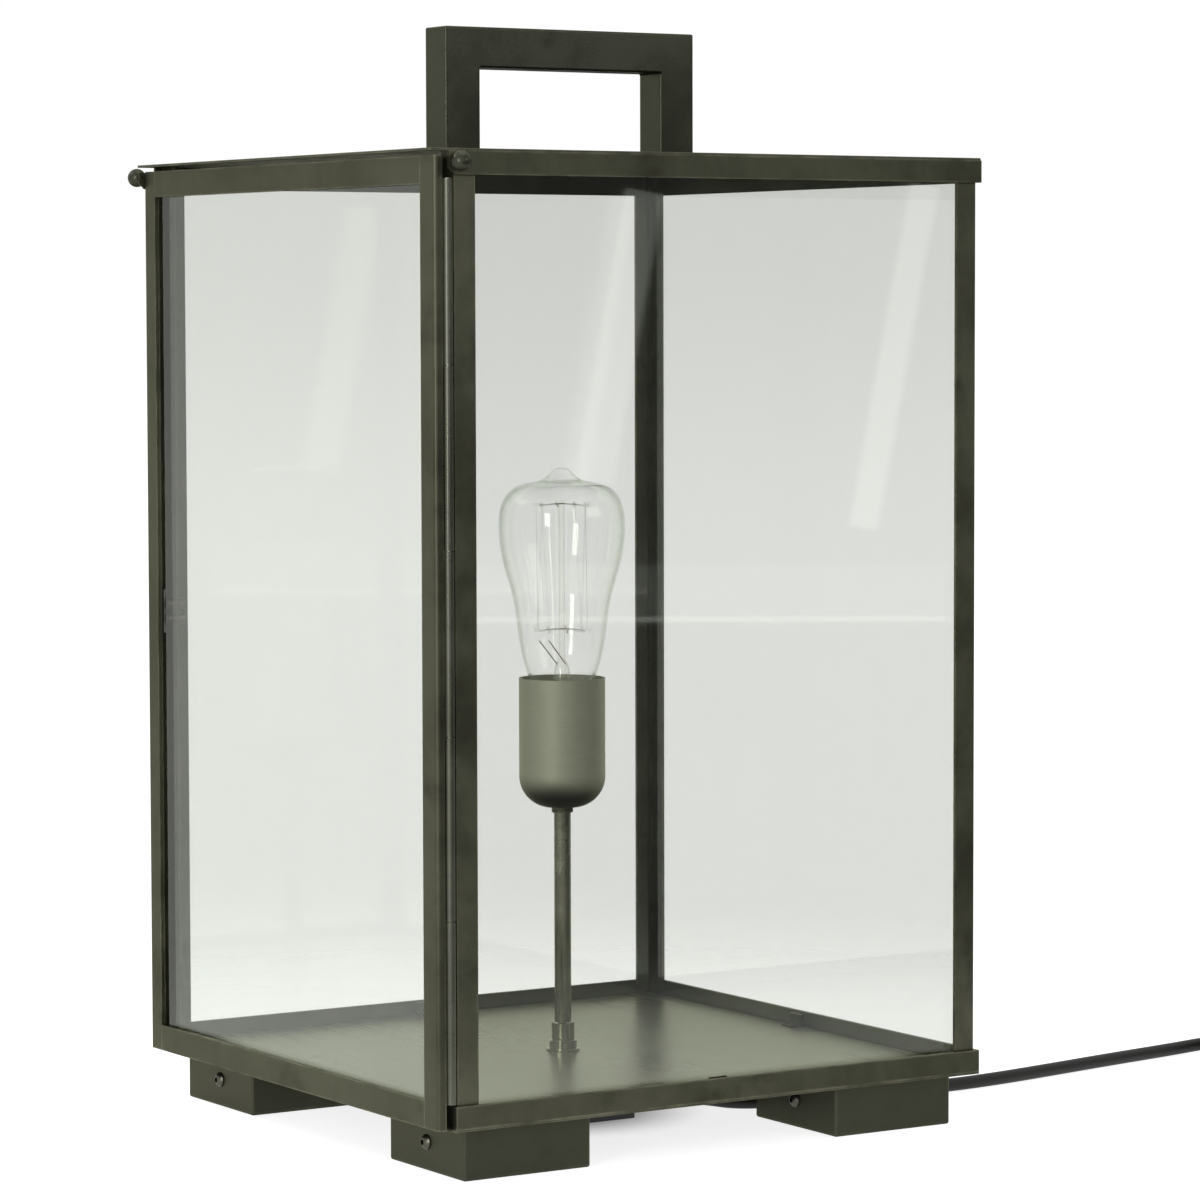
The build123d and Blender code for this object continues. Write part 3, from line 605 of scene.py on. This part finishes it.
@dataclass
class Assembly:
    """Nodes of one sub-assembly, dressed by their slots or by a finish of their own."""

    title: str
    nodes: tuple[str, ...]
    own: ClassVar[dict[str, Finish]] = {}

    def dress(self, shop: Workshop, slots: dict[str, str]) -> None:
        """Give every node of this sub-assembly its own finish, or else that of its slot.

        Args:
            shop: Where the materials are made.
            slots: Material slot of each node.
        """
        for name in self.nodes:
            piece = frame["nodes"][name]
            material = shop.material(self.own.get(name) or Finish(slots[name]))
            if not piece.material_slots:
                piece.data.materials.append(material)
            for slot in piece.material_slots:
                slot.material = material
            LOG.info("%s: %s in %s", self.title, name, material.name)

    def add_curve(
        self, name: str, diameter: float, roundness: int, material: bpy.types.Material
    ) -> bpy.types.Object:
        """Add an empty curve with a round section.

        Args:
            name: Name of the piece.
            diameter: Thickness, in metres.
            roundness: Steps in a quarter of the section.
            material: What it is made of.

        Returns:
            The piece.
        """
        curve = bpy.data.curves.new(name, "CURVE")
        curve.dimensions = "3D"
        curve.bevel_depth = diameter / 2
        curve.bevel_resolution = roundness
        curve.use_fill_caps = True
        curve.materials.append(material)
        piece = bpy.data.objects.new(name, curve)
        bpy.context.scene.collection.objects.link(piece)
        LOG.info("%s: %s in %s", self.title, name, material.name)
        return piece

    @staticmethod
    def add_line(
        piece: bpy.types.Object, kind: str, points: list[Vector], swell: float = 1.0
    ) -> bpy.types.Spline:
        """Add one line of points to a curve.

        Args:
            piece: The curve's piece.
            kind: Type of the line.
            points: Its points.
            swell: Factor on the curve's thickness.

        Returns:
            The line.
        """
        line = piece.data.splines.new(kind)
        line.points.add(len(points) - 1)
        for knot, point in zip(line.points, points):
            knot.co = (*point, 1.0)
            knot.radius = swell
        return line


@dataclass
class Roof(Assembly):
    """Roof plate, its rails, the handle and the ball studs."""

    title: str = "roof"
    nodes: tuple[str, ...] = (
        "roof_plate", "roof_rail_right", "roof_rail_left", "roof_rail_back", "handle", "handle_screws",
        "ball_stud_right", "ball_stud_left",
    )
    own: ClassVar[dict[str, Finish]] = {
        "handle": Finish.HANDLED_AND_SHADED,
        "ball_stud_right": Finish.HANDLED_AND_SHADED,
        "ball_stud_left": Finish.HANDLED_AND_SHADED,
    }


@dataclass
class GlazedBody(Assembly):
    """Corner posts, glass panes and the clips that hold them, with the frame's half of the hinge."""

    title: str = "body"
    nodes: tuple[str, ...] = (
        "post_front_right", "post_front_left", "post_rear_right", "post_rear_left", "glass_right",
        "glass_left", "glass_back", "glass_clips", "catch_magnets", "hinge_leaf_frame", "hinge_pin",
    )
    own: ClassVar[dict[str, Finish]] = {
        "post_front_right": Finish.LIT_POST,
        "post_front_left": Finish.LIT_POST,
        "post_rear_right": Finish.LIT_POST,
        "post_rear_left": Finish.LIT_POST,
        "hinge_leaf_frame": Finish.HIGHLIT_KNUCKLE,
        "glass_clips": Finish.HANDLED_AND_SHADED,
    }


@dataclass
class Base(Assembly):
    """Base plate with its rails, floor plate and feet."""

    title: str = "base"
    nodes: tuple[str, ...] = (
        "base_plate", "base_rail_right", "base_rail_left", "base_rail_back", "floor_plate", "foot_front_left",
        "foot_front_right", "foot_rear_left", "foot_rear_right", "foot_blocks", "foot_screws", "base_screws",
    )
    own: ClassVar[dict[str, Finish]] = {
        "foot_front_left": Finish.WORN_AND_SHADED,
        "foot_front_right": Finish.WORN_AND_SHADED,
        "foot_rear_left": Finish.WORN_AND_SHADED,
        "foot_rear_right": Finish.WORN_AND_SHADED,
    }


@dataclass
class Door(Assembly):
    """Door frame, its glass, hinge leaf and keeper."""

    title: str = "door"
    nodes: tuple[str, ...] = (
        "door_stile_free", "door_stile_hinge", "door_rail_top", "door_rail_bottom", "door_glass",
        "door_glass_tabs", "hinge_leaf_door", "keeper_plate",
    )
    own: ClassVar[dict[str, Finish]] = {"hinge_leaf_door": Finish.HIGHLIT_KNUCKLE}


@dataclass
class LampStand(Assembly):
    """Stem, cup and lampholder."""

    title: str = "lamp"
    nodes: tuple[str, ...] = (
        "stem", "stem_collar", "stem_nut", "lamp_cup", "cup_nut", "holder_insert", "holder_shell",
        "holder_contact",
    )
    own: ClassVar[dict[str, Finish]] = {"stem": Finish.RUBBED, "stem_collar": Finish.COLLAR}


@dataclass
class Bulb(Assembly):
    """Bulb with its cap, glass, mount and wires. Lengths in metres."""

    title: str = "bulb"
    nodes: tuple[str, ...] = ("bulb_cap", "bulb_glass", "bulb_mount")
    own: ClassVar[dict[str, Finish]] = {"bulb_mount": Finish.MOUNT}
    body: str = "bulb"
    axis_y: float = STEM_Y
    hook_low: float = 246.0 * MM
    hook_high: float = 309.5 * MM
    hook_reach: float = 15.0 * MM
    hook_count: int = 9
    hook_stagger: float = 0.5
    hook_sag: float = 1.2 * MM
    hook_shape: tuple[Range, ...] = (
        (0.10, 0.0), (0.55, -0.3), (0.80, -1.0), (0.86, 0.4), (0.92, -1.2), (1.0, 0.5),
    )
    hook_loop: int = 3
    hook_wire: float = 0.20 * MM
    cage_wire: float = 0.06 * MM
    ring_r: float = 2.0 * MM
    ring_wire: float = 0.5 * MM
    ring_sides: int = 24
    lead_wire: float = 0.7 * MM
    lead_low: float = 228.0 * MM
    lead_high: float = 240.0 * MM
    lead_way: float = math.radians(237.7)
    lead_spots: tuple[Range, ...] = ((2.4 * MM, 11.5 * MM), (-2.0 * MM, 6.6 * MM))
    wire_roundness: int = 2

    def spot(self, radius: float, angle: float, height: float) -> Vector:
        """Point at a radius and an angle round the bulb's axis."""
        return Vector((radius * math.cos(angle), self.axis_y + radius * math.sin(angle), height))

    def hook(self, angle: float, height: float) -> list[Vector]:
        """Support wire from the rod, with a small bent end.

        Args:
            angle: Which way it points.
            height: Where it leaves the rod.

        Returns:
            Points along the wire.
        """
        return [
            self.spot(out * self.hook_reach, angle, height + lift * self.hook_sag)
            for out, lift in self.hook_shape
        ]

    def runs(self) -> list[tuple[float, list[Vector]]]:
        """Lay out the support wires, the filament through their loops, the rings and the leads.

        Returns:
            Thickness and points of every wire.
        """
        step = math.tau / self.hook_count
        wires = []
        cage = []
        for index in range(self.hook_count):
            high = self.hook(index * step, self.hook_high)
            low = self.hook((index + self.hook_stagger) * step, self.hook_low)
            wires += [(self.hook_wire, high), (self.hook_wire, low)]
            cage += [high[self.hook_loop], low[self.hook_loop]]
        wires.append((self.cage_wire, cage))
        for height in (self.hook_low, self.hook_high):
            turns = [side * math.tau / self.ring_sides for side in range(self.ring_sides + 1)]
            wires.append((self.ring_wire, [self.spot(self.ring_r, turn, height) for turn in turns]))
        for start, end in self.lead_spots:
            foot = self.spot(start, self.lead_way, self.lead_low)
            wires.append((self.lead_wire, [foot, self.spot(end, self.lead_way, self.lead_high)]))
        return wires

    def string_wires(self, shop: Workshop) -> bpy.types.Object:
        """Build the support wires, the filament cage and the leads.

        Args:
            shop: Where the materials are made.

        Returns:
            The wires as one piece.
        """
        wires = self.add_curve("bulb_wires", self.hook_wire, self.wire_roundness, shop.material(Finish.WIRE))
        for thickness, points in self.runs():
            self.add_line(wires, "POLY", points, thickness / self.hook_wire)
        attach(wires, self.body)
        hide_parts("bulb_filament")
        return wires


@dataclass
class Supply(Assembly):
    """Terminal box, strain relief, cable, coil and plug. Lengths in metres."""

    title: str = "supply"
    nodes: tuple[str, ...] = (
        "terminal_box", "terminal_block", "lamp_wires", "cable_gland", "cable_tie", "plug_body", "plug_pins",
    )
    body: str = "lantern"
    diameter: float = 7.0 * MM
    length: float = 1.732
    stem_y: float = STEM_Y
    gland_x: float = 44.0 * MM
    gland_end: float = 34.775 * MM
    gland_z: float = 9.6 * MM
    lie: float = 3.5 * MM
    lower_z: float = 4.5 * MM
    layer_pitch: float = 7.6 * MM
    coil_x: float = 36.0 * MM
    coil_start: float = 415.0 * MM
    outer_r: float = 51.0 * MM
    pitch: float = 7.6 * MM
    quarters: int = 9
    climb_quarters: int = 2
    points_per_quarter: int = 4
    plug_lead: float = 30.0 * MM
    roundness: int = 6
    smoothness: int = 8
    spline_order: int = 3

    def route(self) -> list[Vector]:
        """Lay out the free stretch, from the strain relief to the coil.

        Returns:
            Its points, given one by one.
        """
        x, y, z = self.gland_x, self.gland_end, self.gland_z
        stem, lie, end = self.stem_y, self.lie, self.stem_y + self.coil_start
        return [
            Vector((x, y, z)),
            Vector((x, y + 13 * MM, z)),
            Vector((x + 2 * MM, y + 28 * MM, z - 2.4 * MM)),
            Vector((x + 6 * MM, y + 45 * MM, lie + 0.4 * MM)),
            Vector((56.0 * MM, stem + 99 * MM, lie)),
            Vector((58.0 * MM, stem + 129 * MM, lie)),
            Vector((61.5 * MM, stem + 163 * MM, lie)),
            Vector((64.8 * MM, stem + 196 * MM, lie)),
            Vector((61.0 * MM, stem + 235 * MM, lie)),
            Vector((53.0 * MM, stem + 279 * MM, lie)),
            Vector((44.5 * MM, stem + 325 * MM, lie)),
            Vector((38.5 * MM, stem + 363 * MM, lie)),
            Vector((self.coil_x, end - 20 * MM, self.lower_z)),
            Vector((self.coil_x, end, self.lower_z)),
        ]

    def coil(self) -> list[Vector]:
        """Wind the coil: in on the table, up a layer, out again, then on to the plug.

        Returns:
            Its points.
        """
        centre = Vector((self.coil_x + self.outer_r, self.stem_y + self.coil_start + self.diameter, 0))
        quarter = math.pi / 2
        swell = 1 / math.cos(quarter / 2 / self.points_per_quarter)
        steps = 2 * self.quarters + self.climb_quarters
        points = []
        for index in range(steps * self.points_per_quarter + 1):
            step = index / self.points_per_quarter
            radius = (self.outer_r - self.pitch / 4 * min(step, steps - step)) * swell
            angle = math.pi - step * quarter
            climb = min(max((step - self.quarters) / self.climb_quarters, 0.0), 1.0)
            rise = self.layer_pitch * climb * climb * (3 - 2 * climb)
            offset = Vector((radius * math.cos(angle), radius * math.sin(angle), self.lower_z + rise))
            points.append(centre + offset)
        points[0].x = self.coil_x
        points[-1].x = self.coil_x
        points.append(points[-1] + Vector((0, self.plug_lead, 0)))
        return points

    def lay_cable(self, shop: Workshop) -> bpy.types.Object:
        """Build the cable as one smooth line with a round section.

        Args:
            shop: Where the materials are made.

        Returns:
            The cable.
        """
        points = self.route() + self.coil()
        cable = self.add_curve("supply_cable", self.diameter, self.roundness, shop.material(Finish.RUBBER))
        cable.data.resolution_u = self.smoothness
        line = self.add_line(cable, "NURBS", points)
        line.order_u = self.spline_order
        line.use_endpoint_u = True
        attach(cable, self.body)
        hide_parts("cable", "cable_coil")
        return cable


@dataclass
class PhotoCamera:
    """Camera at the photograph's viewing angle. Lengths in metres, angles in degrees, lens in mm."""

    place: Triple = (1.9643, -1.2145, 0.4069)
    yaw: float = 57.66
    pitch: float = 3.62
    roll: float = -0.14
    lens: float = 137.18
    sensor: float = 36.0
    reach: float = 60.0

    def build(self) -> bpy.types.Object:
        """Add the camera and make it the scene's own.

        Returns:
            The camera.
        """
        yaw, pitch, roll = (math.radians(angle) for angle in (self.yaw, self.pitch, self.roll))
        ahead = Vector((-math.sin(yaw) * math.cos(pitch), math.cos(yaw) * math.cos(pitch), -math.sin(pitch)))
        level = ahead.cross(Vector((0, 0, 1))).normalized()
        upright = level.cross(ahead)
        right = math.cos(roll) * level + math.sin(roll) * upright
        top = -math.sin(roll) * level + math.cos(roll) * upright
        data = bpy.data.cameras.new("photo_camera")
        data.lens = self.lens
        data.sensor_width = self.sensor
        data.sensor_fit = "HORIZONTAL"
        data.clip_end = self.reach
        camera = bpy.data.objects.new("photo_camera", data)
        turn = Matrix((right, top, -ahead)).transposed()
        camera.matrix_world = Matrix.Translation(self.place) @ turn.to_4x4()
        bpy.context.scene.collection.objects.link(camera)
        bpy.context.scene.camera = camera
        LOG.info("camera at %s", self.place)
        return camera


@dataclass(frozen=True)
class SoftBox:
    """One flat light that points at the lantern. Lengths in metres, power in watts, lean in degrees."""

    name: str
    place: Triple
    width: float
    height: float
    power: float
    lean: float = 0.0
    aim: Triple = (0.0, 0.0, 0.25)

    def build(self) -> bpy.types.Object:
        """Add the light.

        Returns:
            The light.
        """
        data = bpy.data.lights.new(self.name, "AREA")
        data.shape = "RECTANGLE"
        data.size = self.width
        data.size_y = self.height
        data.energy = self.power
        light = bpy.data.objects.new(self.name, data)
        light.location = self.place
        away = Vector(self.aim) - Vector(self.place)
        toward = away.to_track_quat("-Z", "Y").to_matrix().to_4x4()
        light.rotation_euler = (toward @ Matrix.Rotation(math.radians(self.lean), 4, "Z")).to_euler()
        bpy.context.scene.collection.objects.link(light)
        LOG.info("light %s", self.name)
        return light


@dataclass
class Studio:
    """White room: pale floor, even surrounding light and soft boxes. Lengths in metres."""

    floor_side: float = 6.0
    floor_drop: float = 0.1 * MM
    floor_colour: Colour = (0.45, 0.45, 0.45, 1.0)
    floor_roughness: float = 0.9
    floor_glow: float = 0.82
    floor_fade: Range = (0.28, 0.85)
    floor_shade: Colour = (0.08, 0.08, 0.08, 1.0)
    floor_shade_range: Range = (0.02, 0.085)
    glass_layers: int = 24
    bright: Colour = (1.02, 1.02, 1.02, 1.0)
    bright_low: Colour = (1.17, 1.17, 1.17, 1.0)
    horizon: Range = (0.03, -0.06)
    dim: Colour = (0.14, 0.14, 0.137, 1.0)
    dim_way: Triple = (0.848, 0.530, 0.0)
    dim_range: Range = (0.40, 0.95)
    boxes: tuple[SoftBox, ...] = (
        SoftBox("door_side_box", (-1.7, -1.5, 2.3), 1.4, 1.4, 16.0),
        SoftBox("top_box", (0.1, 0.2, 2.6), 1.6, 1.6, 10.0),
        SoftBox("camera_side_box", (1.45, -2.35, 0.75), 0.5, 1.1, 22.0),
        SoftBox("tall_strip", (2.57, -0.38, 0.95), 0.12, 1.5, 4.0),
        SoftBox("right_box", (2.2, 1.4, 1.25), 1.4, 0.9, 12.0),
        SoftBox("window_bar", (2.165, 1.578, 0.358), 0.030, 0.36, 0.038, -10.0),
        SoftBox("window_edge", (2.250, 1.295, 0.38), 0.040, 0.30, 0.035, -10.0),
        SoftBox("shelf_bar", (2.269, 1.439, 0.086), 0.54, 0.006, 0.014),
        SoftBox("shelf_band", (2.269, 1.439, 0.117), 0.54, 0.052, 0.028),
    )

    def floor(self) -> bpy.types.Object:
        """Add the pale floor, shaded under the lantern and fading out round it.

        Returns:
            The floor.
        """
        half, low = self.floor_side / 2, -self.floor_drop
        corners = [(-half, -half, low), (half, -half, low), (half, half, low), (-half, half, low)]
        mesh = bpy.data.meshes.new("studio_floor")
        mesh.from_pydata(corners, [], [(0, 1, 2, 3)])
        graph = Graph.of_material("studio_floor")
        away = graph.node("ShaderNodeVectorMath", {"operation": "LENGTH"}, {0: graph.place()}, "Value")
        inputs = {
            "Base Color": self.floor_colour,
            "Roughness": self.floor_roughness,
            "Emission Color": graph.mix(away.between(*self.floor_shade_range), self.floor_shade, WHITE),
            "Emission Strength": self.floor_glow,
            "Alpha": 1.0 - away.between(*self.floor_fade),
        }
        mesh.materials.append(graph.finish(graph.surface(inputs)))
        floor = bpy.data.objects.new("studio_floor", mesh)
        bpy.context.scene.collection.objects.link(floor)
        LOG.info("studio: %s", floor.name)
        return floor

    def surround(self) -> None:
        """Light the room evenly, with one dim side that the right pane mirrors."""
        graph = Graph(bpy.data.worlds.new("studio_room"))
        way = graph.node("ShaderNodeTexCoord", {}, {}, "Generated")
        backdrop = graph.mix(graph.vertical(way).between(*self.horizon), self.bright, self.bright_low)
        colour = graph.mix(graph.dot(way, self.dim_way).between(*self.dim_range), backdrop, self.dim)
        light = graph.node("ShaderNodeBackground", {}, {"Color": colour})
        bpy.context.scene.world = graph.finish(light, "ShaderNodeOutputWorld")

    def build(self) -> None:
        """Add the floor, the surrounding light and the soft boxes."""
        self.floor()
        self.surround()
        for box in self.boxes:
            box.build()
        bpy.context.scene.view_settings.view_transform = "Standard"
        bpy.context.scene.cycles.transparent_max_bounces = self.glass_layers


def main() -> None:
    """Build the camera, the cable, the bulb's wires, the finishes and the studio in order."""
    logging.basicConfig(level=logging.INFO, format="%(name)s %(message)s")
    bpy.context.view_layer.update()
    slots = {part["node"]: part["material_slot"] for part in frame["record"]["subparts"]}
    shop = Workshop()
    PhotoCamera().build()
    supply = Supply()
    supply.lay_cable(shop)
    bulb = Bulb()
    bulb.string_wires(shop)
    for assembly in (Roof(), GlazedBody(), Base(), Door(), LampStand(), bulb, supply):
        assembly.dress(shop, slots)
    Studio().build()


if __name__ == "__main__":
    main()
